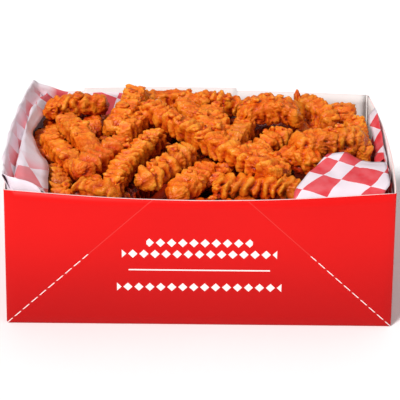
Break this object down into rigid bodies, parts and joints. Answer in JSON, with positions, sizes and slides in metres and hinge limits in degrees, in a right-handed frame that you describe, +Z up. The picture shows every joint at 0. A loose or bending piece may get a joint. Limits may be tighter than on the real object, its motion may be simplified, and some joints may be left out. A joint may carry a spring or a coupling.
{
  "type": "french fries in a carton",
  "caption": "Open takeaway carton of folded board, lined with check greaseproof paper and heaped with crinkle-cut battered french fries.",
  "frame": {"origin": "middle of the carton's flat base, on the surface that it stands on", "axes": "+X along the carton to the right of the printed front, +Y from the printed front to the back, +Z up"},
  "size_m": [0.2324, 0.1704, 0.1064],
  "materials": {
    "board": "printed paperboard, satin outside and bare white inside",
    "paper": "thin greaseproof paper with a printed check, matt",
    "crust": "fried batter, oily in places"
  },
  "bodies": {
    "root": {"carton": "board", "liner": "paper", "fries": "crust"}
  },
  "joints": []
}
